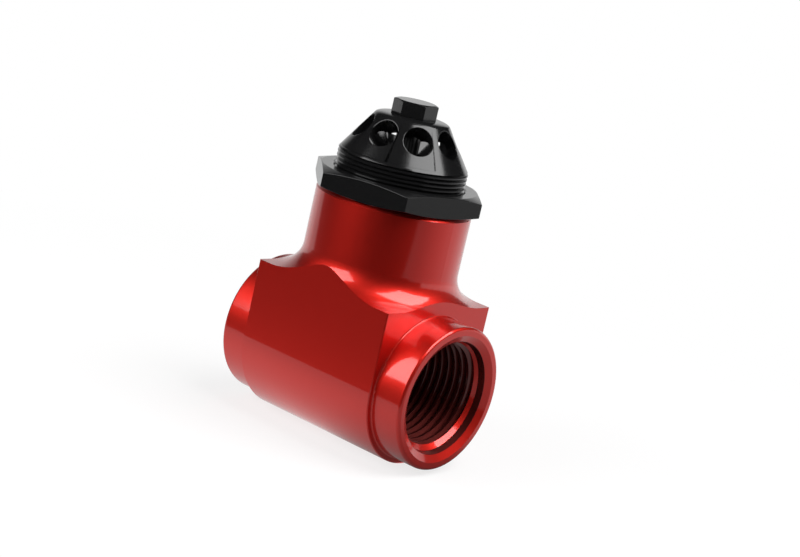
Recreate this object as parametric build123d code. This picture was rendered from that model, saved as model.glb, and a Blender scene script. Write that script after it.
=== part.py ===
from build123d import *
from math import atan, cos, degrees, hypot, pi, radians, sin, sqrt, tan
import os

os.makedirs("parts", exist_ok=True)

# Inline vacuum regulator. Sizes are in millimetres and angles in degrees.
# +Z runs up the neck, +X to the near port, and z = 0 is the lowest line of the round underside.
# Heights named *_z are measured from the port axis, and `place` lifts them all at the end.

# Housing
body_half_width = 19.05         # 1.5 in bar: flats at the front and back, and the round underside
face_to_face = 58.2             # over both port faces
block_beyond_neck = 1.9         # from the neck to the block's end faces
neck_step = 0.25                # the neck is turned under the bar's flats
neck_fillet = 6.65              # turned sweep from the shoulder into the neck
neck_chamfer = 0.85
boss_step = 1.43                # the boss is this much under the flats and the shoulder
boss_edge_round = 0.85
boss_root_fillet = 0.4
block_edge_break = 0.2

# Ports for a straight-thread O-ring fitting
port_thread_radius = 13.49      # major radius of the 1-1/16 in thread
port_mouth_step = 0.46          # from the thread out to the mouth of the tapered seat
mouth_bevel_width = 1.68        # of the bevel between the port face and the tapered seat
mouth_bevel_depth = 1.05
seat_taper = 12.0               # each side of the port axis
seat_depth = 1.65
port_thread_depth = 19.5        # from the port face
line_bore_radius = 10.6

# Neck bore
floor_wall = 1.2                # between the port threads and the floor of the neck bore
passage_step = 1.7              # the valve passage is this much smaller than the line bore
neck_wall = 3.1                 # round the bonnet's thread
neck_thread_length = 7.68
thread_shoulder = 1.05          # from the bonnet's thread in to the smooth bore
thread_clearance = 0.05
slide_clearance = 0.05
bore_lead_in = 0.5

# Bonnet
bonnet_travel = 2.0             # up and down from its middle setting
travel_clearance = 0.1
thread_above_nut = 4.91
thread_end_chamfer = 0.7
cone_inset = 0.5                # the foot of the cone is this much inside the thread
cone_half_angle = 34.27
cone_top_round = 1.9
bonnet_wall = 2.2               # square to the cone
bonnet_roof = 3.3
skirt_wall = 1.95
vent_count = 8
vent_web = 1.56                 # metal left between two vents, at the outside
vent_foot_margin = 2.76         # from the thread's end up to the vents
vent_top_margin = 1.21          # from the vents up to the bonnet's top
vent_turn = -83.6               # direction of the first vent, from +X

# Jam nut
nut_wall = 3.25                 # at the middle of a flat
nut_height = 5.07
nut_chamfer_angle = 16.5        # the corners are turned down at both faces
nut_corner_turn = -104.0        # direction of one corner, from +X
nut_bore_chamfer = 0.5
corner_margin = 0.15            # how far a turned-down corner reaches inside the flats

# Guide bolt
bolt_radius = 3.0
bolt_clearance = 0.05
bolt_end_chamfer = 0.5
head_across_flats = 9.4
head_height = 3.55
head_corner_turn = -85.3
head_chamfer_angle = 20.0

# Seat disc, which slides in the smooth bore
disc_thickness = 3.6
disc_rim_chamfer = 0.3
seat_hole_radius = 7.8
land_width = 0.8
land_height = 0.5
seal_section_radius = 0.7
seal_groove_play = 0.6          # the groove is this much wider than the ring's section
seal_sink = 0.05                # the ring lies this far below the rim of the disc
washer_thickness = 0.5
washer_clearance = 0.3

# Poppet
stroke = 3.0
flange_overlap = 2.6            # beyond the seat's hole
flange_thickness = 2.4
hub_wall = 0.95
hub_above_flange = 3.2
hub_below_flange = 4.6
face_seal_width = 2.4
face_seal_thickness = 1.2
face_seal_proud = 0.4
bush_wall = 0.9
spring_boss_height = 1.2

# Spring and the rings on the bolt's end
spring_space = 7.2              # from the spring seat to the poppet's flange
spring_wire_radius = 0.7
spring_wire_sides = 6           # the round wire's section, as a hexagon
spring_turns = 3.0
spring_top_inset = 2.8          # from the flange's edge in to the middle of the wire
spring_bore_margin = 1.1        # round the lowest turn
spring_seat_thickness = 1.0
coil_clearance = 0.1
snap_clearance = 0.02           # of a ring in its groove
stop_washer_width = 2.2
stop_washer_thickness = 0.9
stop_clearance = 0.05
clip_thickness = 0.8
clip_width = 1.4                # outside the bolt
clip_mouth = 2.6
clip_groove_depth = 0.5
bolt_beyond_clip = 0.9

overcut = 1.0                   # how far a cutting shape runs past the face it opens
same = 0.001                    # places closer than this are the same

# Across, from the bar inwards
port_axis_z = body_half_width
half_length = face_to_face / 2
boss_radius = body_half_width - boss_step
neck_radius = body_half_width - neck_step
block_half_length = neck_radius + block_beyond_neck
neck_entry_radius = neck_radius - neck_wall
bonnet_thread_radius = neck_entry_radius - thread_clearance
smooth_bore_radius = bonnet_thread_radius - thread_shoulder
disc_radius = smooth_bore_radius - slide_clearance
bonnet_bore_radius = disc_radius - skirt_wall
valve_passage_radius = line_bore_radius - passage_step
port_mouth_radius = port_thread_radius + port_mouth_step

# Across, from the bolt outwards
shank_hole_radius = bolt_radius + bolt_clearance
bush_radius = shank_hole_radius + bush_wall
hub_radius = bush_radius + hub_wall
flange_radius = seat_hole_radius + flange_overlap
spring_top_radius = flange_radius - spring_top_inset
spring_bottom_radius = smooth_bore_radius - spring_bore_margin - spring_wire_radius

# Up from the port thread to the top of the neck
shoulder_z = boss_radius + boss_step
bore_floor_z = port_thread_radius + floor_wall
spring_seat_top_z = bore_floor_z + spring_seat_thickness
flange_bottom_z = spring_seat_top_z + spring_space
flange_top_z = flange_bottom_z + flange_thickness
land_bottom_z = flange_top_z + face_seal_proud
disc_bottom_z = land_bottom_z + land_height
disc_top_z = disc_bottom_z + disc_thickness
bonnet_bottom_z = disc_top_z + washer_thickness
neck_thread_bottom_z = bonnet_bottom_z + bore_lead_in + bonnet_travel
neck_top_z = neck_thread_bottom_z + neck_thread_length

# The bonnet above the neck, with vents as large as the webs between them allow
cone_slope = tan(radians(cone_half_angle))
cone_foot_radius = bonnet_thread_radius - cone_inset
nut_top_z = neck_top_z + nut_height
cone_foot_z = nut_top_z + thread_above_nut
cone_apex_z = cone_foot_z + cone_foot_radius / cone_slope
vent_spread = sin(pi / vent_count)
vent_foot_reach = (cone_foot_radius - vent_foot_margin * cone_slope) * vent_spread - vent_web / 2
vent_radius = vent_foot_reach / (1 + vent_spread * sin(radians(cone_half_angle)))
vent_half_height = vent_radius * cos(radians(cone_half_angle))
vent_z = cone_foot_z + vent_foot_margin + vent_half_height
bonnet_top_z = vent_z + vent_half_height + vent_top_margin
skirt_top_z = neck_thread_bottom_z + bonnet_travel + thread_end_chamfer + travel_clearance

# Down from the poppet to the end of the bolt
hub_top_z = flange_top_z + hub_above_flange
hub_bottom_z = flange_bottom_z - hub_below_flange
stop_top_z = hub_bottom_z - stroke - stop_clearance
clip_top_z = stop_top_z - stop_washer_thickness
clip_bottom_z = clip_top_z - clip_thickness
bolt_end_z = clip_bottom_z - bolt_beyond_clip


def cone_radius(z):
    return (cone_apex_z - z) * cone_slope


def arc(x, z, radius, start, end):
    """Arc in the XZ plane about (x, z), between two directions."""
    turns = (start, (start + end) / 2, end)
    return ThreePointArc(*[(x + radius * cos(radians(a)), 0, z + radius * sin(radians(a))) for a in turns])


def outline(*items):
    """Closed outline in the XZ plane through (x, z) points and arcs, joined by straight lines."""
    edges = []
    ends = [(Vector(i[0], 0, i[1]),) * 2 if isinstance(i, tuple) else (i @ 0, i @ 1) for i in items]
    for item, here, following in zip(items, ends, ends[1:] + ends[:1]):
        if not isinstance(item, tuple):
            edges.append(item)
        if (following[0] - here[1]).length > same:
            edges.append(Line(here[1], following[0]))
    return edges


def turned(*items, axis=Axis.Z):
    """The solid that an outline sweeps when it turns about an axis."""
    return revolve(make_face(outline(*items)), axis)


def ring(inner, outer, bottom, top):
    return turned((inner, bottom), (outer, bottom), (outer, top), (inner, top))


def place(solid):
    """Lifts a solid from the port axis to the part's own frame."""
    return Pos(0, 0, port_axis_z) * solid


def block_and_neck():
    """The square bar turned down to the neck, with a swept foot that the bar's own faces cut off."""
    corner = hypot(block_half_length, body_half_width) + overcut
    foot = neck_radius + neck_fillet
    lathe_cut = turned(
        (0, 0),
        (corner, 0),
        (corner, shoulder_z),
        arc(foot, shoulder_z + neck_fillet, neck_fillet, -90, -180),
        (neck_radius, neck_top_z - neck_chamfer),
        (neck_radius - neck_chamfer, neck_top_z),
        (0, neck_top_z),
    )
    length = 2 * block_half_length
    upright = (Align.CENTER, Align.CENTER, Align.MIN)
    bar = Box(length, 2 * body_half_width, neck_top_z, align=upright)
    underside = Rot(0, 90, 0) * Cylinder(body_half_width, length)
    below = Box(2 * length, 4 * body_half_width, body_half_width, align=upright)
    return (bar & lathe_cut) + (underside & Pos(0, 0, -body_half_width) * below)


def boss():
    """Round boss through the block, with a rounded mouth edge at each port face."""
    rim = boss_radius - boss_edge_round
    root = boss_radius + boss_root_fillet
    near = turned(
        (0, 0),
        (0, root),
        arc(block_half_length + boss_root_fillet, root, boss_root_fillet, 180, 270),
        arc(half_length - boss_edge_round, rim, boss_edge_round, 90, 0),
        (half_length, 0),
        axis=Axis.X,
    )
    return near + mirror(near, Plane.YZ)


def port_cut():
    """Mouth, tapered O-ring seat, threaded bore and line bore of the near port, as what is cut out."""
    bevel_radius = port_mouth_radius + mouth_bevel_width
    seat_x = half_length - mouth_bevel_depth
    seat_end_x = seat_x - seat_depth
    seat_radius = port_mouth_radius - seat_depth * tan(radians(seat_taper))
    step = seat_radius - port_thread_radius
    thread_end = half_length - port_thread_depth
    taper = port_thread_radius - line_bore_radius
    return turned(
        (0, 0),
        (half_length + overcut, 0),
        (half_length + overcut, bevel_radius),
        (half_length, bevel_radius),
        (seat_x, port_mouth_radius),
        (seat_end_x, seat_radius),
        (seat_end_x - step, port_thread_radius),
        (thread_end, port_thread_radius),
        (thread_end - taper, line_bore_radius),
        (0, line_bore_radius),
        axis=Axis.X,
    )


def neck_cut():
    """Threaded entry, smooth bore and valve passage of the neck, as the material to take out."""
    return turned(
        (0, 0),
        (valve_passage_radius, 0),
        (valve_passage_radius, bore_floor_z),
        (smooth_bore_radius, bore_floor_z),
        (smooth_bore_radius, neck_thread_bottom_z - bore_lead_in),
        (smooth_bore_radius + bore_lead_in, neck_thread_bottom_z),
        (neck_entry_radius, neck_thread_bottom_z),
        (neck_entry_radius, neck_top_z - bore_lead_in),
        (neck_entry_radius + bore_lead_in, neck_top_z),
        (neck_entry_radius + bore_lead_in, neck_top_z + overcut),
        (0, neck_top_z + overcut),
    )


def block_end_edges(solid):
    """Edges of the block's end faces along the two flats and the round underside."""
    at_ends = [
        edge
        for edge in solid.edges()
        if edge.bounding_box().size.X < same and abs(abs(edge.center().X) - block_half_length) < same
    ]
    flats = [edge for edge in at_ends if abs(abs(edge.center().Y) - body_half_width) < same]
    arcs = [edge for edge in at_ends if edge.geom_type == GeomType.CIRCLE]
    return flats + [edge for edge in arcs if abs(edge.radius - body_half_width) < same]


def housing():
    outside = block_and_neck() + boss()
    outside = chamfer(block_end_edges(outside), block_edge_break)
    near = port_cut()
    return outside - near - mirror(near, Plane.YZ) - neck_cut()


def hexagon(across_flats, bottom, top, corner_turn, chamfer_angle, both_ends=False):
    """Hexagonal bar whose corners are turned down, at the top or at both ends."""
    bar = extrude(RegularPolygon(across_flats / sqrt(3), 6), top - bottom)
    bar = Rot(0, 0, corner_turn) * Pos(0, 0, bottom) * bar
    edge = across_flats / 2 - corner_margin
    corner = across_flats / sqrt(3) + overcut
    drop = (corner - edge) * tan(radians(chamfer_angle))
    points = [(edge, top), (0, top), (0, bottom)]
    if both_ends:
        points += [(edge, bottom), (corner, bottom + drop)]
    else:
        points += [(corner, bottom)]
    return bar & turned(*points, (corner, top - drop))


def jam_nut():
    across_flats = 2 * (bonnet_thread_radius + nut_wall)
    nut = hexagon(across_flats, neck_top_z, nut_top_z, nut_corner_turn, nut_chamfer_angle, both_ends=True)
    bore = bonnet_thread_radius + thread_clearance
    wide = bore + nut_bore_chamfer
    hole = turned(
        (0, neck_top_z - overcut),
        (wide, neck_top_z - overcut),
        (wide, neck_top_z),
        (bore, neck_top_z + nut_bore_chamfer),
        (bore, nut_top_z - nut_bore_chamfer),
        (wide, nut_top_z),
        (wide, nut_top_z + overcut),
        (0, nut_top_z + overcut),
    )
    return nut - hole


def bonnet():
    """Threaded cup under a vented cone, turned inside and out, with a ring of drilled vents."""
    outside = turned(
        (0, bonnet_bottom_z),
        (disc_radius - disc_rim_chamfer, bonnet_bottom_z),
        (disc_radius, bonnet_bottom_z + disc_rim_chamfer),
        (disc_radius, skirt_top_z - thread_end_chamfer),
        (bonnet_thread_radius - thread_end_chamfer, skirt_top_z - thread_end_chamfer),
        (bonnet_thread_radius, skirt_top_z),
        (bonnet_thread_radius, cone_foot_z - thread_end_chamfer),
        (cone_foot_radius, cone_foot_z),
        (cone_radius(bonnet_top_z), bonnet_top_z),
        (0, bonnet_top_z),
    )
    rim_edge = outside.edges().filter_by(GeomType.CIRCLE).group_by(Axis.Z)[-1]
    outside = fillet(rim_edge, cone_top_round)
    roof_z = bonnet_top_z - bonnet_roof
    wall_shift = bonnet_wall / cos(radians(cone_half_angle))
    inner_cone_z = cone_apex_z - (bonnet_bore_radius + wall_shift) / cone_slope
    inside = turned(
        (0, bonnet_bottom_z - overcut),
        (bonnet_bore_radius, bonnet_bottom_z - overcut),
        (bonnet_bore_radius, inner_cone_z),
        (cone_radius(roof_z) - wall_shift, roof_z),
        (0, roof_z),
    )
    bolt_hole = Pos(0, 0, bonnet_top_z) * Cylinder(shank_hole_radius, 4 * bonnet_roof)
    shell = outside - inside - bolt_hole
    square_to_cone = Rot(0, 90 - cone_half_angle, 0)
    drill = Pos(cone_radius(vent_z), 0, vent_z) * square_to_cone * Cylinder(vent_radius, 4 * bonnet_wall)
    for step in range(vent_count):
        shell -= Rot(0, 0, vent_turn + step * 360 / vent_count) * drill
    return shell


def guide_bolt():
    """Hexagon bolt whose plain shank guides the poppet, with a clip groove near its end."""
    head_top = bonnet_top_z + head_height
    head = hexagon(head_across_flats, bonnet_top_z, head_top, head_corner_turn, head_chamfer_angle)
    groove = bolt_radius - clip_groove_depth
    shank = turned(
        (0, bolt_end_z),
        (bolt_radius - bolt_end_chamfer, bolt_end_z),
        (bolt_radius, bolt_end_z + bolt_end_chamfer),
        (bolt_radius, clip_bottom_z),
        (groove, clip_bottom_z),
        (groove, clip_top_z),
        (bolt_radius, clip_top_z),
        (bolt_radius, bonnet_top_z),
        (0, bonnet_top_z),
    )
    return head + shank


def thrust_washer():
    inner = bonnet_bore_radius + washer_clearance
    return ring(inner, disc_radius - washer_clearance, disc_top_z, bonnet_bottom_z)


def seal_groove():
    """Radius of the floor, middle height and half width of the groove round the seat disc."""
    floor_radius = disc_radius - seal_sink - 2 * seal_section_radius
    return floor_radius, (disc_top_z + disc_bottom_z) / 2, seal_section_radius + seal_groove_play / 2


def seat_disc():
    """Sliding disc with an air passage, a raised seat land below and an O-ring groove in its rim."""
    groove_floor, groove_z, half_groove = seal_groove()
    land_foot = seat_hole_radius + land_width + land_height
    return turned(
        (seat_hole_radius, land_bottom_z),
        (seat_hole_radius + land_width, land_bottom_z),
        (land_foot, disc_bottom_z),
        (disc_radius - disc_rim_chamfer, disc_bottom_z),
        (disc_radius, disc_bottom_z + disc_rim_chamfer),
        (disc_radius, groove_z - half_groove),
        (groove_floor, groove_z - half_groove),
        (groove_floor, groove_z + half_groove),
        (disc_radius, groove_z + half_groove),
        (disc_radius, disc_top_z - disc_rim_chamfer),
        (disc_radius - disc_rim_chamfer, disc_top_z),
        (seat_hole_radius + disc_rim_chamfer, disc_top_z),
        (seat_hole_radius, disc_top_z - disc_rim_chamfer),
    )


def seat_disc_o_ring():
    groove_floor, groove_z, _ = seal_groove()
    middle = groove_floor + seal_section_radius + snap_clearance
    section = Plane.XZ * Pos(middle, groove_z) * Circle(seal_section_radius)
    return revolve(section, Axis.Z)


def face_seal_radii():
    middle = seat_hole_radius + land_width / 2
    return middle - face_seal_width / 2, middle + face_seal_width / 2


def poppet():
    """Mushroom valve: a flange with a groove for its face seal, on a hub bored for the bush."""
    seal_inner, seal_outer = face_seal_radii()
    groove_z = flange_top_z + face_seal_proud - face_seal_thickness
    boss_outer = spring_top_radius - spring_wire_radius - coil_clearance
    return turned(
        (bush_radius, hub_bottom_z),
        (hub_radius, hub_bottom_z),
        (hub_radius, flange_bottom_z - spring_boss_height),
        (boss_outer, flange_bottom_z - spring_boss_height),
        (boss_outer, flange_bottom_z),
        (flange_radius, flange_bottom_z),
        (flange_radius, flange_top_z),
        (seal_outer, flange_top_z),
        (seal_outer, groove_z),
        (seal_inner, groove_z),
        (seal_inner, flange_top_z),
        (hub_radius, flange_top_z),
        (hub_radius, hub_top_z),
        (bush_radius, hub_top_z),
    )


def poppet_seal():
    inner, outer = face_seal_radii()
    top = flange_top_z + face_seal_proud
    return ring(inner, outer, top - face_seal_thickness, top)


def poppet_bush():
    return ring(shank_hole_radius, bush_radius, hub_bottom_z, hub_top_z)


def stop_washer():
    return ring(shank_hole_radius, bolt_radius + stop_washer_width, clip_top_z, stop_top_z)


def retaining_clip():
    """Open ring snapped into the bolt's groove."""
    outer = bolt_radius + clip_width
    closed = ring(bolt_radius - clip_groove_depth + snap_clearance, outer, clip_bottom_z, clip_top_z)
    mouth = Pos(outer, 0, clip_bottom_z) * Box(2 * outer, clip_mouth, 4 * clip_thickness)
    return closed - mouth


def spring_seat():
    """Hard washer that keeps the spring off the soft floor of the neck bore."""
    inner = valve_passage_radius + washer_clearance
    return ring(inner, smooth_bore_radius - washer_clearance, bore_floor_z, spring_seat_top_z)


def regulating_spring():
    """Conical spring whose turns drop inside each other, between its seat washer and the poppet's flange."""
    reach = spring_wire_radius + coil_clearance
    bottom = spring_seat_top_z + reach
    height = flange_bottom_z - reach - bottom
    narrowing = degrees(atan((spring_bottom_radius - spring_top_radius) / height))
    path = Pos(0, 0, bottom) * Helix(
        pitch=height / spring_turns,
        height=height,
        radius=spring_bottom_radius,
        cone_angle=-narrowing,
    )
    section = Plane(path @ 0, z_dir=path % 0) * RegularPolygon(spring_wire_radius, spring_wire_sides)
    return sweep(section, path, is_frenet=True)


pieces = {
    "housing": housing,
    "jam_nut": jam_nut,
    "bonnet": bonnet,
    "guide_bolt": guide_bolt,
    "thrust_washer": thrust_washer,
    "seat_disc": seat_disc,
    "seat_disc_o_ring": seat_disc_o_ring,
    "poppet": poppet,
    "poppet_seal": poppet_seal,
    "poppet_bush": poppet_bush,
    "regulating_spring": regulating_spring,
    "spring_seat": spring_seat,
    "stop_washer": stop_washer,
    "retaining_clip": retaining_clip,
}

for name, make in pieces.items():
    solid = place(make())
    solid.label = name
    export_step(solid, f"parts/{name}.step")
    print(name, round(solid.volume, 1), "mm3")
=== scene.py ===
import bpy
import math
from mathutils import Matrix, Vector


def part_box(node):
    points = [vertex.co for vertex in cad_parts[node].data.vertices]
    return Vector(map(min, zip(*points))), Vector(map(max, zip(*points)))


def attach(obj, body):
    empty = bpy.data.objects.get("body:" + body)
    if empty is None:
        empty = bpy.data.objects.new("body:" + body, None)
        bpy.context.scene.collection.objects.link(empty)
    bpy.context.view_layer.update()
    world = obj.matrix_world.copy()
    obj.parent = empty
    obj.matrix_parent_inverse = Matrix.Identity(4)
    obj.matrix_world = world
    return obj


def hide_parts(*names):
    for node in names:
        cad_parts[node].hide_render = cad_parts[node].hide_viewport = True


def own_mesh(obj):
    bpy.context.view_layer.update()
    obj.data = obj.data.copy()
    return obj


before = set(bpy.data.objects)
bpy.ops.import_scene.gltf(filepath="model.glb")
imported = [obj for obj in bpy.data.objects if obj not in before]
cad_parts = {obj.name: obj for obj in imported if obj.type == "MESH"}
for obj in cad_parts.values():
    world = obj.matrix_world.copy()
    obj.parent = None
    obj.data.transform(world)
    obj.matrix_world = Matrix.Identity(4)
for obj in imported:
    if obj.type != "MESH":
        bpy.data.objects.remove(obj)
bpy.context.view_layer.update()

mm = 0.001
axisHeight = 19.05    # of both ports, in mm
weld = 0.002          # points this close, in mm, are one
drilledWeld = 0.005   # the same on a drilled piece
flatAngle = 0.4       # degrees within which faces count as one plane
overrun = 1           # mm that a tool or a joined part runs past the face it meets
crispAngle = 20       # edges sharper than this stay crisp on the black parts
print("frame loaded:", len(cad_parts), "nodes")


# Hand tools

def toVector(azimuth, elevation):  # azimuth 0 is the front (-Y), 90 is the near port (+X)
    a, e = math.radians(azimuth), math.radians(elevation)
    return Vector((math.sin(a) * math.cos(e), -math.cos(a) * math.cos(e), math.sin(e)))


def heights(node):  # lowest and highest point of a CAD node, in mm
    low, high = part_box(node)
    return low.z / mm, high.z / mm


def deselectAll():
    if bpy.context.object and bpy.context.object.mode != "OBJECT":
        bpy.ops.object.mode_set(mode="OBJECT")
    bpy.ops.object.select_all(action="DESELECT")


def pickOnly(piece):
    deselectAll()
    piece.select_set(True)
    bpy.context.view_layer.objects.active = piece


def applyPlace(piece):
    pickOnly(piece)
    bpy.ops.object.transform_apply(location=True, rotation=True, scale=True)


def applyAll(piece):
    pickOnly(piece)
    for modifier in list(piece.modifiers):
        bpy.ops.object.modifier_apply(modifier=modifier.name)


def tidyNormals(piece, merge=0.0):
    pickOnly(piece)
    bpy.ops.object.mode_set(mode="EDIT")
    bpy.ops.mesh.select_all(action="SELECT")
    if merge:
        bpy.ops.mesh.remove_doubles(threshold=merge * mm)
    bpy.ops.mesh.normals_make_consistent(inside=False)
    bpy.ops.object.mode_set(mode="OBJECT")


def joinFlat(piece):  # joins the triangles that lie in one plane, slivers among them
    pickOnly(piece)
    bpy.ops.object.mode_set(mode="EDIT")
    bpy.ops.mesh.select_all(action="SELECT")
    bpy.ops.mesh.dissolve_limited(angle_limit=math.radians(flatAngle))
    bpy.ops.object.mode_set(mode="OBJECT")


def turned(profile, steps, capped=False):
    # An outline of (radius, height) in mm, extruded ring by ring and closed, or with its ends capped.
    deselectAll()
    radius, height = profile[0]
    bpy.ops.mesh.primitive_circle_add(vertices=steps, radius=radius * mm, location=(0, 0, height * mm))
    piece = bpy.context.object
    applyPlace(piece)
    bpy.ops.object.mode_set(mode="EDIT")
    bpy.ops.mesh.select_all(action="SELECT")
    for nextRadius, nextHeight in profile[1:] + ([] if capped else profile[:1]):
        rise = (0, 0, (nextHeight - height) * mm)
        bpy.ops.mesh.extrude_edges_move(TRANSFORM_OT_translate={"value": rise})
        grow = nextRadius / radius
        bpy.ops.transform.resize(value=(grow, grow, 1), center_override=(0, 0, nextHeight * mm))
        radius, height = nextRadius, nextHeight
    if capped:
        bpy.ops.mesh.select_all(action="SELECT")
        bpy.ops.mesh.fill_holes(sides=0)
    bpy.ops.object.mode_set(mode="OBJECT")
    tidyNormals(piece, merge=weld)
    return piece


def crown(start, corner, end, count):  # points of a corner that is rounded unevenly
    points = []
    for step in range(count + 1):
        t = step / count
        points.append(tuple(
            a * (1 - t) ** 2 + b * 2 * t * (1 - t) + c * t * t for a, b, c in zip(start, corner, end)))
    return points


def hexBar(acrossFlats, bottom, top, cornerTurn):  # a cylinder's first corner points along +Y
    deselectAll()
    bpy.ops.mesh.primitive_cylinder_add(
        vertices=6, radius=acrossFlats / math.sqrt(3) * mm, depth=(top - bottom) * mm,
        location=(0, 0, (top + bottom) / 2 * mm), rotation=(0, 0, math.radians(cornerTurn - 90)))
    piece = bpy.context.object
    applyPlace(piece)
    return piece


def boolean(piece, tool, operation):
    modifier = piece.modifiers.new(operation.lower(), "BOOLEAN")
    modifier.operation = operation
    modifier.solver = "MANIFOLD"
    modifier.object = tool
    applyAll(piece)
    bpy.data.objects.remove(tool)


def breakEdges(piece, width, angle):  # a small bevel on every edge sharper than this angle
    modifier = piece.modifiers.new("edges", "BEVEL")
    modifier.limit_method = "ANGLE"
    modifier.angle_limit = math.radians(angle)
    modifier.width = width * mm
    modifier.segments = 2
    modifier.use_clamp_overlap = False
    applyAll(piece)


def wound(piece, turns, pitch, steps):  # a right-handed screw of the flat outline it gets
    modifier = piece.modifiers.new("winding", "SCREW")
    modifier.axis = "Z"
    modifier.angle = 2 * math.pi
    modifier.screw_offset = pitch * mm
    modifier.iterations = turns
    modifier.steps = steps
    modifier.render_steps = steps
    applyAll(piece)
    bpy.ops.object.mode_set(mode="EDIT")
    bpy.ops.mesh.select_all(action="SELECT")
    bpy.ops.mesh.fill_holes(sides=8)
    bpy.ops.object.mode_set(mode="OBJECT")
    tidyNormals(piece)


def finish(piece, name, material, body, smooth=30):
    piece.name = name
    piece.data.name = name
    pickOnly(piece)
    bpy.ops.object.shade_smooth_by_angle(angle=math.radians(smooth))
    weight = piece.modifiers.new("weighted", "WEIGHTED_NORMAL")
    weight.keep_sharp = True
    applyAll(piece)
    piece.data.materials.clear()
    piece.data.materials.append(material)
    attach(piece, body)


# Materials

def newMaterial(name):
    material = bpy.data.materials.new(name)
    material.use_nodes = True
    return material, material.node_tree.nodes, material.node_tree.links


def objectPlace(nodes, links, scale=(1, 1, 1)):
    place = nodes.new("ShaderNodeTexCoord")
    stretch = nodes.new("ShaderNodeMapping")
    stretch.inputs["Scale"].default_value = scale
    links.new(place.outputs["Object"], stretch.inputs["Vector"])
    return stretch.outputs["Vector"]


def mathNode(nodes, links, operation, first, second):
    node = nodes.new("ShaderNodeMath")
    node.operation = operation
    for socket, value in zip(node.inputs, (first, second)):
        if isinstance(value, (int, float)):
            socket.default_value = value
        else:
            links.new(value, socket)
    return node.outputs[0]


def grainNoise(nodes, links, vector, scale, detail=4):
    grain = nodes.new("ShaderNodeTexNoise")
    grain.inputs["Scale"].default_value = scale
    grain.inputs["Detail"].default_value = detail
    links.new(vector, grain.inputs["Vector"])
    return grain.outputs["Fac"]


latheMarks = {
    "distortion": 1.5,
    "detailScale": 40,
    "wavesPerUnit": 20 / (2 * math.pi),   # of a wave texture at scale 1
}


def turnedRings(nodes, links, vector, period):  # marks of the lathe round the Z axis, period in mm
    cfg = latheMarks
    rings = nodes.new("ShaderNodeTexWave")
    rings.wave_type = "RINGS"
    rings.rings_direction = "Z"
    rings.inputs["Scale"].default_value = 1 / (cfg["wavesPerUnit"] * period * mm)
    rings.inputs["Distortion"].default_value = cfg["distortion"]
    rings.inputs["Detail Scale"].default_value = cfg["detailScale"]
    links.new(vector, rings.inputs["Vector"])
    return rings.outputs["Fac"]


def spread(nodes, links, value, low, high, start=0, end=1):  # start to end becomes low to high
    node = nodes.new("ShaderNodeMapRange")
    for name, number in (("From Min", start), ("From Max", end), ("To Min", low), ("To Max", high)):
        node.inputs[name].default_value = number
    links.new(value, node.inputs["Value"])
    return node.outputs["Result"]


def bumped(nodes, links, shader, height, depth):
    bump = nodes.new("ShaderNodeBump")
    bump.inputs["Distance"].default_value = depth * mm
    links.new(height, bump.inputs["Height"])
    links.new(bump.outputs["Normal"], shader.inputs["Normal"])


redAnodised = {
    "baseColor": (0.68, 0.022, 0.014, 1),
    "paintedBoreShadeColor": (0.17, 0.026, 0.022, 1),   # painted shade, darker down in the ports
    "metallic": 0.95,
    "roughness": (0.43, 0.50),
    "oxideRoughness": (0.09, 0.13),         # the clear oxide layer over the dye
    "oxideIor": 1.5,
    "grainScale": 900,
    "smearScale": (260, 60, 60),            # the bar was drawn and polished along X
    "smearDetail": 3,
    "boreRadius": (13.96, 14.02),           # the painted shade ends between these, in mm
    "leadIn": (25.1, 26.42),                # no painted shade between the thread and the tapered seat
}


def paintedBoreShadeMask(nodes, links, vector):  # 1 where shade is painted: the tapped walls and the tapered seats of both ports
    cfg = redAnodised
    split = nodes.new("ShaderNodeSeparateXYZ")
    links.new(vector, split.inputs["Vector"])
    height = mathNode(nodes, links, "SUBTRACT", split.outputs["Z"], axisHeight * mm)
    square = mathNode(nodes, links, "MULTIPLY", split.outputs["Y"], split.outputs["Y"])
    square = mathNode(nodes, links, "ADD", square, mathNode(nodes, links, "MULTIPLY", height, height))
    radius = mathNode(nodes, links, "POWER", square, 0.5)
    inside = spread(nodes, links, radius, 1, 0, *(r * mm for r in cfg["boreRadius"]))
    along = mathNode(nodes, links, "ABSOLUTE", split.outputs["X"], 0)
    start, end = (x * mm for x in cfg["leadIn"])
    leadIn = mathNode(
        nodes, links, "MULTIPLY",
        mathNode(nodes, links, "GREATER_THAN", along, start),
        mathNode(nodes, links, "LESS_THAN", along, end))
    return mathNode(nodes, links, "SUBTRACT", inside, leadIn)


def makeRedAnodised():
    cfg = redAnodised
    material, nodes, links = newMaterial("redAnodised")
    shader = nodes["Principled BSDF"]
    shader.inputs["Metallic"].default_value = cfg["metallic"]
    shader.inputs["Coat Weight"].default_value = 1
    shader.inputs["Coat IOR"].default_value = cfg["oxideIor"]
    vector = objectPlace(nodes, links)
    # painted shade: the base colour darkens to the bore shade colour in the ports
    color = nodes.new("ShaderNodeMix")
    color.data_type = "RGBA"
    color.inputs[6].default_value = cfg["baseColor"]
    color.inputs[7].default_value = cfg["paintedBoreShadeColor"]
    links.new(paintedBoreShadeMask(nodes, links, vector), color.inputs[0])
    links.new(color.outputs[2], shader.inputs["Base Color"])
    grain = grainNoise(nodes, links, vector, cfg["grainScale"])
    drawn = objectPlace(nodes, links, cfg["smearScale"])
    smear = grainNoise(nodes, links, drawn, 1, cfg["smearDetail"])
    links.new(spread(nodes, links, grain, *cfg["roughness"]), shader.inputs["Roughness"])
    links.new(spread(nodes, links, smear, *cfg["oxideRoughness"]), shader.inputs["Coat Roughness"])
    return material


blackAnodised = {
    "baseColor": (0.008, 0.008, 0.0083, 1),
    "roughness": (0.15, 0.19),
    "ior": 1.5,
    "grainScale": 800,
    "ringPeriod": 0.12,
    "ringDepth": 0.0004,
}


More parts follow.
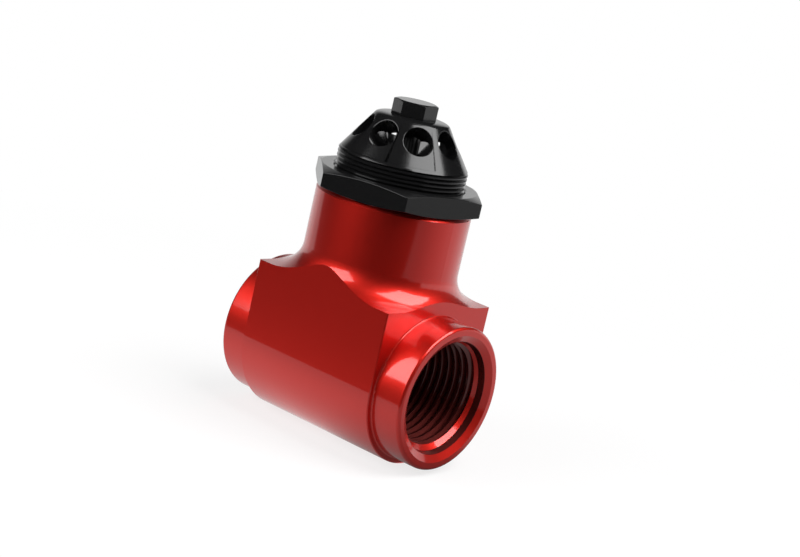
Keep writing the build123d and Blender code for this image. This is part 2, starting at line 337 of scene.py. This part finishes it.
def makeBlackAnodised():
    cfg = blackAnodised
    material, nodes, links = newMaterial("blackAnodised")
    shader = nodes["Principled BSDF"]
    shader.inputs["Base Color"].default_value = cfg["baseColor"]
    shader.inputs["IOR"].default_value = cfg["ior"]
    vector = objectPlace(nodes, links)
    grain = grainNoise(nodes, links, vector, cfg["grainScale"])
    links.new(spread(nodes, links, grain, *cfg["roughness"]), shader.inputs["Roughness"])
    bumped(nodes, links, shader, turnedRings(nodes, links, vector, cfg["ringPeriod"]), cfg["ringDepth"])
    return material


metals = {  # color, lowest and highest roughness, scale of the grain, period of the turned rings or 0
    "turnedAluminium": ((0.62, 0.62, 0.63, 1), (0.22, 0.36), 900, 0.15),
    "tumbledStainless": ((0.56, 0.55, 0.53, 1), (0.26, 0.44), 1500, 0),
    "drawnSpringSteel": ((0.45, 0.45, 0.46, 1), (0.18, 0.32), 2200, 0),
    "sinteredBronze": ((0.50, 0.30, 0.12, 1), (0.35, 0.65), 3500, 0),
}
metalMarkDepth = 0.002  # mm


def makeMetal(name):
    color, roughness, grainScale, ringPeriod = metals[name]
    material, nodes, links = newMaterial(name)
    shader = nodes["Principled BSDF"]
    shader.inputs["Base Color"].default_value = color
    shader.inputs["Metallic"].default_value = 1
    vector = objectPlace(nodes, links)
    grain = grainNoise(nodes, links, vector, grainScale)
    links.new(spread(nodes, links, grain, *roughness), shader.inputs["Roughness"])
    marks = turnedRings(nodes, links, vector, ringPeriod) if ringPeriod else grain
    bumped(nodes, links, shader, marks, metalMarkDepth)
    return material


nitrile = {
    "color": (0.015, 0.015, 0.015, 1),
    "roughness": (0.55, 0.75),
    "scale": 1800,
    "depth": 0.01,
}


def makeNitrile():
    cfg = nitrile
    material, nodes, links = newMaterial("nitrile")
    shader = nodes["Principled BSDF"]
    shader.inputs["Base Color"].default_value = cfg["color"]
    grain = grainNoise(nodes, links, objectPlace(nodes, links), cfg["scale"])
    links.new(spread(nodes, links, grain, *cfg["roughness"]), shader.inputs["Roughness"])
    bumped(nodes, links, shader, grain, cfg["depth"])
    return material


red = makeRedAnodised()
black = makeBlackAnodised()
aluminium, stainless, springSteel, bronze = (makeMetal(name) for name in metals)
rubber = makeNitrile()
for name, material in {
    "housing": red, "jam_nut": black, "bonnet": black, "guide_bolt": black,
    "seat_disc": aluminium, "poppet": aluminium,
    "thrust_washer": stainless, "spring_seat": stainless, "stop_washer": stainless,
    "retaining_clip": springSteel,
    "poppet_bush": bronze, "seat_disc_o_ring": rubber, "poppet_seal": rubber,
}.items():
    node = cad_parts[name]
    for slot in node.material_slots:
        slot.material = material
    if not node.material_slots:
        node.data.materials.append(material)
print("materials made")


# Port threads: the ridges in the tapped wall of the housing

portThread = {
    "wallRadius": 13.49,
    "crestRadius": 12.45,
    "crestWidth": 0.53,
    "flankAngle": 30,
    "sink": 0.05,          # of the ridge into the wall
    "pitch": 25.4 / 12,
    "turns": 9,
    "start": 8.617,        # from the middle of the housing
    "innerEnd": 9.7,
    "leadIn": 26.39,       # where the 45 degree lead-in meets the tapered seat
    "trimReach": 0.06,     # of the trimming shape, outside the ridge
    "trimClear": 0.2,      # of its cone, inside the crests
    "trimBore": 0.5,       # radius of the hole down its middle
    "steps": 96,
}


def makePortThread(name, side):  # side is 1 at +X and -1 at -X
    cfg = portThread
    outer = cfg["wallRadius"] + cfg["sink"]
    depth = outer - cfg["crestRadius"]
    deselectAll()
    bpy.ops.mesh.primitive_plane_add(
        size=depth * mm, rotation=(math.radians(90), 0, 0),
        location=((outer - depth / 2) * mm, 0, cfg["start"] * mm))
    ridge = bpy.context.object
    applyPlace(ridge)
    bpy.ops.object.mode_set(mode="EDIT")
    bpy.ops.mesh.select_all(action="SELECT")
    bpy.ops.mesh.delete(type="ONLY_FACE")
    bpy.ops.mesh.select_all(action="SELECT")
    rootWidth = cfg["crestWidth"] + 2 * depth * math.tan(math.radians(cfg["flankAngle"]))
    center = (0, 0, cfg["start"] * mm)
    bpy.ops.transform.resize(value=(1, 1, rootWidth / depth), center_override=center)
    bpy.ops.object.mode_set(mode="OBJECT")
    for vertex in ridge.data.vertices:
        vertex.select = vertex.co.x < (outer - depth / 2) * mm
    for edge in ridge.data.edges:
        edge.select = all(ridge.data.vertices[v].select for v in edge.vertices)
    bpy.ops.object.mode_set(mode="EDIT")
    bpy.ops.transform.resize(value=(1, 1, cfg["crestWidth"] / rootWidth), center_override=center)
    bpy.ops.object.mode_set(mode="OBJECT")
    wound(ridge, cfg["turns"], cfg["pitch"], cfg["steps"])
    bore, edge = cfg["trimBore"], outer + cfg["trimReach"]
    slope = edge - cfg["crestRadius"] + cfg["trimClear"]
    trim = turned([
        (bore, cfg["innerEnd"]), (edge, cfg["innerEnd"]), (edge, cfg["leadIn"]),
        (edge - slope, cfg["leadIn"] - slope), (bore, cfg["leadIn"] - slope)], cfg["steps"])
    boolean(ridge, trim, "INTERSECT")
    ridge.rotation_euler = (0, math.radians(90 * side), 0)
    ridge.location = (0, 0, axisHeight * mm)
    applyPlace(ridge)
    finish(ridge, name, red, "housing")


makePortThread("port_thread_right", 1)
makePortThread("port_thread_left", -1)
print("port threads cut")


# Bonnet

bonnet = {
    "boreRadius": 12.6,
    "skirtRadius": 14.55,
    "skirtHeight": 4.6,
    "rimChamfer": 0.3,
    "threadRadius": 15.65,
    "threadEndChamfer": 0.7,
    "threadPitch": 1.0,
    "threadDepth": 0.62,
    "threadRunIn": 1.2,     # of the cutter, below the thread's first turn
    "threadRunOut": 1.0,    # and above the cone's foot
    "threadSteps": 96,
    "coneFootRadius": 15.15,
    "coneHeight": 9.814,
    "coneHalfAngle": 34.27,
    "crownRadius": 5.2,     # where the rounding meets the flat under the bolt's head
    "crownDepth": 0.85,     # and how far down the cone it starts
    "crownSteps": 12,
    "wall": 5.4,
    "roof": 3.3,
    "boltHole": 3.05,
    "ventRadius": 3.536,
    "ventDrop": 4.132,      # from the top down to the middle of the vents
    "ventReach": 12,        # length of the drill, half of it inside
    "ventCount": 8,
    "ventTurn": -83.6,
    "ventSides": 64,
    "edge": 0.16,
    "edgeAngle": 32,        # edges sharper than this are broken
    "steps": 144,
}


def bonnetOutline():
    cfg = bonnet
    bottom, top = heights("bonnet")
    angle = math.radians(cfg["coneHalfAngle"])
    foot = top - cfg["coneHeight"]
    apex = foot + cfg["coneFootRadius"] / math.tan(angle)

    def cone(height):
        return (apex - height) * math.tan(angle)

    shoulder = bottom + cfg["skirtHeight"]
    chamfer = cfg["threadEndChamfer"]
    threadRadius = cfg["threadRadius"]
    shift = cfg["wall"] / math.cos(angle)
    roof = top - cfg["roof"]
    innerFoot = apex - (cfg["boreRadius"] + shift) / math.tan(angle)
    crownFoot, steps = top - cfg["crownDepth"], cfg["crownSteps"]
    return [
        (cfg["boreRadius"], bottom),
        (cfg["skirtRadius"] - cfg["rimChamfer"], bottom),
        (cfg["skirtRadius"], bottom + cfg["rimChamfer"]),
        (cfg["skirtRadius"], shoulder),
        (threadRadius - chamfer, shoulder),
        (threadRadius, shoulder + chamfer),
        (threadRadius, foot - chamfer),
        (cfg["coneFootRadius"], foot),
        *crown((cone(crownFoot), crownFoot), (cone(top), top), (cfg["crownRadius"], top), steps),
        (cfg["boltHole"], top),
        (cfg["boltHole"], roof),
        (cone(roof) - shift, roof),
        (cfg["boreRadius"], innerFoot),
    ], apex


def drillVents(piece, apex):
    cfg = bonnet
    _, top = heights("bonnet")
    height = top - cfg["ventDrop"]
    angle = math.radians(cfg["coneHalfAngle"])
    reach = (apex - height) * math.tan(angle)
    for step in range(cfg["ventCount"]):
        turn = math.radians(cfg["ventTurn"] + step * 360 / cfg["ventCount"])
        place = (reach * math.cos(turn) * mm, reach * math.sin(turn) * mm, height * mm)
        deselectAll()
        bpy.ops.mesh.primitive_cylinder_add(
            vertices=cfg["ventSides"], radius=cfg["ventRadius"] * mm, depth=cfg["ventReach"] * mm,
            location=place, rotation=(0, math.radians(90) - angle, turn))
        drill = bpy.context.object
        applyPlace(drill)
        boolean(piece, drill, "DIFFERENCE")


def makeThreadCutter(radius, pitch, depth, bottom, top, steps):  # a 60 degree groove
    clear = 0.06                  # the cutter stands this much outside the thread
    size = (depth + clear) / 1.5  # of the circle round a triangle of that height
    deselectAll()
    bpy.ops.mesh.primitive_circle_add(
        vertices=3, radius=size * mm, location=((radius - depth + size) * mm, 0, bottom * mm),
        rotation=(math.radians(90), math.radians(-90), 0))
    cutter = bpy.context.object
    applyPlace(cutter)
    wound(cutter, math.ceil((top - bottom) / pitch), pitch, steps)
    return cutter


def makeBonnet():
    cfg = bonnet
    outline, apex = bonnetOutline()
    piece = turned(outline, cfg["steps"])
    drillVents(piece, apex)
    tidyNormals(piece, merge=drilledWeld)
    joinFlat(piece)
    breakEdges(piece, cfg["edge"], cfg["edgeAngle"])
    bottom, top = heights("bonnet")
    first = bottom + cfg["skirtHeight"] - cfg["threadRunIn"]
    last = top - cfg["coneHeight"] + cfg["threadRunOut"]
    cutter = makeThreadCutter(
        cfg["threadRadius"], cfg["threadPitch"], cfg["threadDepth"], first, last, cfg["threadSteps"])
    boolean(piece, cutter, "DIFFERENCE")
    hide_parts("bonnet")
    finish(piece, "bonnet_turned", black, "bonnet", smooth=crispAngle)


makeBonnet()
print("bonnet made")


# Jam nut

jamNut = {
    "acrossFlats": 37.8,
    "cornerTurn": -104.0,
    "chamferAngle": 16.5,
    "cornerMargin": 0.15,
    "bore": 15.7,
    "boreChamfer": 0.5,
    "edge": 0.14,
    "edgeAngle": 12,
    "steps": 144,
}


def turnedCorners(cfg, bottom, top, both):  # the solid that a hexagon bar is turned down to
    edge = cfg["acrossFlats"] / 2 - cfg["cornerMargin"]
    corner = cfg["acrossFlats"] / math.sqrt(3) + overrun
    drop = (corner - edge) * math.tan(math.radians(cfg["chamferAngle"]))
    outline = [(edge, bottom), (corner, bottom + drop)] if both else [(corner, bottom)]
    return turned(outline + [(corner, top - drop), (edge, top)], cfg["steps"], capped=True)


def makeJamNut():
    cfg = jamNut
    bottom, top = heights("jam_nut")
    piece = hexBar(cfg["acrossFlats"], bottom, top, cfg["cornerTurn"])
    boolean(piece, turnedCorners(cfg, bottom, top, True), "INTERSECT")
    bore, chamfer = cfg["bore"], cfg["boreChamfer"]
    wide = bore + chamfer
    hole = turned([
        (wide, bottom - overrun), (wide, bottom), (bore, bottom + chamfer),
        (bore, top - chamfer), (wide, top), (wide, top + overrun)], cfg["steps"], capped=True)
    boolean(piece, hole, "DIFFERENCE")
    tidyNormals(piece, merge=drilledWeld)
    breakEdges(piece, cfg["edge"], cfg["edgeAngle"])
    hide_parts("jam_nut")
    finish(piece, "jam_nut_turned", black, "jam_nut", smooth=crispAngle)


makeJamNut()
print("jam nut made")


# Guide bolt

guideBolt = {
    "acrossFlats": 9.4,
    "cornerTurn": -85.3,
    "chamferAngle": 20,
    "cornerMargin": 0.15,
    "radius": 3.0,
    "endChamfer": 0.5,
    "grooveRadius": 2.5,
    "grooveBottom": 0.9,     # above the bolt's end
    "grooveWidth": 0.8,
    "edge": 0.12,
    "edgeAngle": 15,
    "steps": 96,
}


def makeGuideBolt():
    cfg = guideBolt
    bottom, top = heights("guide_bolt")
    _, seat = heights("bonnet")
    head = hexBar(cfg["acrossFlats"], seat, top, cfg["cornerTurn"])
    boolean(head, turnedCorners(cfg, seat, top, False), "INTERSECT")
    radius, end = cfg["radius"], bottom + cfg["grooveBottom"]
    shank = turned([
        (radius - cfg["endChamfer"], bottom), (radius, bottom + cfg["endChamfer"]),
        (radius, end), (cfg["grooveRadius"], end), (cfg["grooveRadius"], end + cfg["grooveWidth"]),
        (radius, end + cfg["grooveWidth"]), (radius, seat + overrun)], cfg["steps"], capped=True)
    boolean(head, shank, "UNION")
    tidyNormals(head, merge=drilledWeld)
    breakEdges(head, cfg["edge"], cfg["edgeAngle"])
    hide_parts("guide_bolt")
    finish(head, "guide_bolt_turned", black, "bonnet", smooth=crispAngle)


makeGuideBolt()
print("guide bolt made")


# Regulating spring: its lowest turn stays on the seat washer, the others follow the valve

regulatingSpring = {
    "bottomRadius": 13.0,
    "topRadius": 7.6,
    "turns": 3,
    "lowerTurns": 1.05,
    "wireRadius": 0.65,
    "wireRounding": 4,
    "pointsPerTurn": 24,
    "keep": 0.32,       # of the upper turns' height when the valve is fully open
}


def makeSpringTurns(name, first, last):
    cfg = regulatingSpring
    bottom, top = heights("regulating_spring")
    low, high = bottom + cfg["wireRadius"], top - cfg["wireRadius"]
    count = round((last - first) * cfg["pointsPerTurn"]) + 1
    wire = bpy.data.curves.new(name, "CURVE")
    wire.dimensions = "3D"
    wire.bevel_depth = cfg["wireRadius"] * mm
    wire.bevel_resolution = cfg["wireRounding"]
    wire.use_fill_caps = True
    line = wire.splines.new("NURBS")
    line.points.add(count - 1)
    for index, point in enumerate(line.points):
        turn = first + index / cfg["pointsPerTurn"]
        share = turn / cfg["turns"]
        radius = cfg["bottomRadius"] + (cfg["topRadius"] - cfg["bottomRadius"]) * share
        angle = 2 * math.pi * turn
        height = low + (high - low) * share
        point.co = (radius * math.cos(angle) * mm, radius * math.sin(angle) * mm, height * mm, 1)
    line.order_u = 4
    line.use_endpoint_u = True
    piece = bpy.data.objects.new(name, wire)
    bpy.context.scene.collection.objects.link(piece)
    pickOnly(piece)
    bpy.ops.object.convert(target="MESH")
    return bpy.context.object


def makeRegulatingSpring():
    cfg = regulatingSpring
    lower = makeSpringTurns("springLower", 0, cfg["lowerTurns"])
    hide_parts("regulating_spring")
    finish(lower, "spring_lower_turn", springSteel, "housing")
    upper = makeSpringTurns("springUpper", cfg["lowerTurns"], cfg["turns"])
    finish(upper, "spring_upper_turns", springSteel, "seat_carrier")
    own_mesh(upper)


makeRegulatingSpring()
print("regulating spring made")


# Studio

studio = {
    "floorSize": 6.0,
    "floorColor": (0.9, 0.9, 0.9, 1),
    "shadowShare": 0.22,          # how much of the lit floor shows through its white
    "shadowReach": (0.10, 0.22),  # beyond this the floor is plain white
    "worldAmbient": 0.2,          # what diffuse surfaces get from the room
    "roomRadius": 1.4,
    "roomSteps": (120, 90),
    "roomFoot": -2,               # lowest elevation of the room's cards
    "roomLight": 0.01,
    "cardHeight": 0.0004,         # of the cards on the table, above the floor
    "matEdge": -0.064,            # front edge of the white paper, dark mat before it
    "matLight": 0.01,
    "paintedShadowCenter": (0.032, 0.008, 0),   # painted shadow of the object on the paper, darkest here, beside the near port
    "shade": (0.004, 0.036, 0.3),       # the painted shadow reaches from this far out to this far, down to this share
    "bounceColor": (0.4, 0.4, 0.4, 1),  # what the paper and the mat in front of it throw back
    "aim": (0, 0, 0.035),               # where the softboxes point
}
paperGlow = [  # azimuth, brightness of the paper as reflections show it
    (-90, 0.62), (-45, 0.78), (0, 0.70), (45, 0.48), (90, 0.34),
    (120, 0.50), (150, 0.66), (200, 0.82), (250, 0.84),
]
backdropGlow = [
    (104, 0.02), (120, 0.40), (144, 0.75), (190, 1.0), (236, 0.75), (252, 0.40), (260, 0.02),
]
backdrops = [  # name, first and last azimuth, top: it reaches higher on the left
    ("backdropRight", 104, 204, 15),
    ("backdropLeft", 204, 260, 36),
]
softboxes = [  # name, azimuth, elevation, distance, width, height, brightness
    ("frontSoftbox", -21.5, 28, 0.80, 0.60, 0.50, 4.7),
    ("overheadSoftbox", 104, 58, 0.90, 0.76, 0.60, 6.0),
    ("backSoftbox", 180, 67, 0.95, 0.33, 0.30, 1.2),
]


def backgroundSwitch(nodes, links):  # 1 for the rays that should meet the white background
    rays = nodes.new("ShaderNodeLightPath").outputs
    seen = mathNode(nodes, links, "MAXIMUM", rays["Is Camera Ray"], rays["Is Glossy Ray"])
    return mathNode(nodes, links, "MAXIMUM", seen, rays["Is Transmission Ray"])


def makeWorld():
    world = bpy.data.worlds.new("studioWorld")
    bpy.context.scene.world = world
    world.use_nodes = True
    nodes, links = world.node_tree.nodes, world.node_tree.links
    room = nodes["Background"]
    room.inputs["Strength"].default_value = studio["worldAmbient"]
    room.inputs["Color"].default_value = (1, 1, 1, 1)
    white = nodes.new("ShaderNodeBackground")
    white.inputs["Color"].default_value = (1, 1, 1, 1)
    mix = nodes.new("ShaderNodeMixShader")
    links.new(backgroundSwitch(nodes, links), mix.inputs[0])
    links.new(room.outputs[0], mix.inputs[1])
    links.new(white.outputs[0], mix.inputs[2])
    links.new(mix.outputs[0], nodes["World Output"].inputs["Surface"])


def makeFloor():
    deselectAll()
    bpy.ops.mesh.primitive_plane_add(size=studio["floorSize"])
    floor = bpy.context.object
    floor.name = "studioFloor"
    material, nodes, links = newMaterial("studioFloor")
    nodes.remove(nodes["Principled BSDF"])
    lit = nodes.new("ShaderNodeBsdfDiffuse")
    bounce = nodes.new("ShaderNodeMix")
    bounce.data_type = "RGBA"
    bounce.inputs[6].default_value = studio["floorColor"]
    bounce.inputs[7].default_value = studio["bounceColor"]
    links.new(nodes.new("ShaderNodeLightPath").outputs["Is Diffuse Ray"], bounce.inputs[0])
    links.new(bounce.outputs[2], lit.inputs["Color"])
    white = nodes.new("ShaderNodeEmission")
    place = nodes.new("ShaderNodeTexCoord")
    away = nodes.new("ShaderNodeVectorMath")
    away.operation = "LENGTH"
    links.new(place.outputs["Object"], away.inputs[0])
    least = 1 - studio["shadowShare"]
    plain = spread(nodes, links, away.outputs["Value"], least, 1, *studio["shadowReach"])
    share = mathNode(nodes, links, "MULTIPLY", backgroundSwitch(nodes, links), plain)
    mix = nodes.new("ShaderNodeMixShader")
    links.new(share, mix.inputs[0])
    links.new(lit.outputs[0], mix.inputs[1])
    links.new(white.outputs[0], mix.inputs[2])
    links.new(mix.outputs[0], nodes["Material Output"].inputs["Surface"])
    floor.data.materials.append(material)


def makeCard(card, name, glow, fadeTop=None, shade=None):
    # Only reflections show it. Glow is a list of (azimuth, brightness), and shade, a painted shadow of
    # the object, is as in studio.
    card.name = name
    material, nodes, links = newMaterial(name)
    nodes.remove(nodes["Principled BSDF"])
    place = nodes.new("ShaderNodeTexCoord")
    around = nodes.new("ShaderNodeTexGradient")
    around.gradient_type = "RADIAL"
    links.new(place.outputs["Object"], around.inputs["Vector"])
    ramp = nodes.new("ShaderNodeValToRGB")
    links.new(around.outputs["Fac"], ramp.inputs["Fac"])
    stops = ramp.color_ramp.elements
    while len(stops) < len(glow):
        stops.new(1)
    while len(stops) > len(glow):
        stops.remove(stops[-1])
    for stop, (azimuth, brightness) in zip(stops, glow):
        stop.position = (azimuth + 90) / 360
        stop.color = (brightness, brightness, brightness, 1)
    light = nodes.new("ShaderNodeEmission")
    links.new(ramp.outputs["Color"], light.inputs["Color"])
    if fadeTop:
        split = nodes.new("ShaderNodeSeparateXYZ")
        links.new(place.outputs["Object"], split.inputs["Vector"])
        fade = spread(nodes, links, split.outputs["Z"], 1, 0, fadeTop / 2, fadeTop)
        links.new(fade, light.inputs["Strength"])
    # painted shadow: the glow dims towards the shadow's centre
    if shade:
        away = nodes.new("ShaderNodeVectorMath")
        away.operation = "DISTANCE"
        away.inputs[1].default_value = studio["paintedShadowCenter"]
        links.new(place.outputs["Object"], away.inputs[0])
        nearest, farthest, darkest = shade
        lit = spread(nodes, links, away.outputs["Value"], darkest, 1, nearest, farthest)
        lit.node.interpolation_type = "SMOOTHSTEP"
        links.new(lit, light.inputs["Strength"])
    links.new(light.outputs[0], nodes["Material Output"].inputs["Surface"])
    card.data.materials.append(material)
    card.visible_camera = False
    card.visible_diffuse = False
    card.visible_shadow = False
    card.visible_transmission = False


def dome(wanted):  # the part of a sphere round the object whose faces are in wanted directions
    deselectAll()
    around, upwards = studio["roomSteps"]
    bpy.ops.mesh.primitive_uv_sphere_add(
        segments=around, ring_count=upwards, radius=studio["roomRadius"])
    card = bpy.context.object
    for face in card.data.polygons:
        way = face.center.normalized()
        azimuth = (math.degrees(math.atan2(way.x, -way.y)) + 90) % 360 - 90
        face.select = not wanted(azimuth, math.degrees(math.asin(way.z)))
    bpy.ops.object.mode_set(mode="EDIT")
    bpy.ops.mesh.select_mode(type="FACE")
    bpy.ops.mesh.delete(type="FACE")
    bpy.ops.object.mode_set(mode="OBJECT")
    return card


def makeRoom():  # a is an azimuth and e an elevation
    foot = studio["roomFoot"]

    def onBackdrop(a, e):
        return any(first < a < last and foot < e < top for _, first, last, top in backdrops)

    for name, first, last, top in backdrops:
        card = dome(lambda a, e: first < a < last and foot < e < top)
        makeCard(card, name, backdropGlow, fadeTop=studio["roomRadius"] * math.sin(math.radians(top)))
    rest = dome(lambda a, e: e > foot and not onBackdrop(a, e))
    makeCard(rest, "darkRoom", [(0, studio["roomLight"])])


def tableCard(front, back):
    deselectAll()
    bpy.ops.mesh.primitive_plane_add(size=1, location=(0, (front + back) / 2, studio["cardHeight"]))
    card = bpy.context.object
    card.scale = (2 * studio["roomRadius"], back - front, 1)
    applyPlace(card)
    return card


def makeTable():
    reach = studio["roomRadius"]
    # the white paper carries a painted shadow of the object
    makeCard(tableCard(studio["matEdge"], reach), "whitePaper", paperGlow, shade=studio["shade"])
    makeCard(tableCard(-reach, studio["matEdge"]), "darkMat", [(0, studio["matLight"])])


def makeSoftboxes():
    aim = Vector(studio["aim"])
    for name, azimuth, elevation, distance, width, height, brightness in softboxes:
        light = bpy.data.lights.new(name, "AREA")
        light.shape = "RECTANGLE"
        light.size, light.size_y = width, height
        light.energy = brightness * math.pi * width * height
        box = bpy.data.objects.new(name, light)
        bpy.context.scene.collection.objects.link(box)
        way = toVector(azimuth, elevation)
        box.location = aim + way * distance
        box.rotation_mode = "QUATERNION"
        box.rotation_quaternion = way.to_track_quat("Z", "Y")
        box.visible_camera = False


camera = {  # the photograph's viewpoint, from the middle of the object
    "azimuth": 37.742,
    "elevation": 12.276,
    "roll": 13.022,
    "distance": 449.48,
    "aimHeight": 39.05,
    "sideways": 5.697,
    "upwards": 0.246,
    "lens": 84.65,
    "clipStart": 0.01,
}


def makeCamera():
    cfg = camera
    back = toVector(cfg["azimuth"], cfg["elevation"])
    level = toVector(cfg["azimuth"] + 90, 0)
    above = back.cross(level)
    roll = math.radians(cfg["roll"])
    right = level * math.cos(roll) + above * math.sin(roll)
    up = above * math.cos(roll) - level * math.sin(roll)
    lens = bpy.data.cameras.new("photoCamera")
    lens.lens = cfg["lens"]
    lens.clip_start = cfg["clipStart"]
    viewer = bpy.data.objects.new("photoCamera", lens)
    bpy.context.scene.collection.objects.link(viewer)
    turn = Matrix((right, up, back)).transposed().to_4x4()
    place = back * cfg["distance"] + right * cfg["sideways"] + up * cfg["upwards"]
    place += Vector((0, 0, cfg["aimHeight"]))
    viewer.matrix_world = Matrix.Translation(place * mm) @ turn
    bpy.context.scene.camera = viewer


makeWorld()
makeFloor()
makeRoom()
makeTable()
makeSoftboxes()
makeCamera()
bpy.context.scene.view_settings.view_transform = "Standard"
print("studio ready")
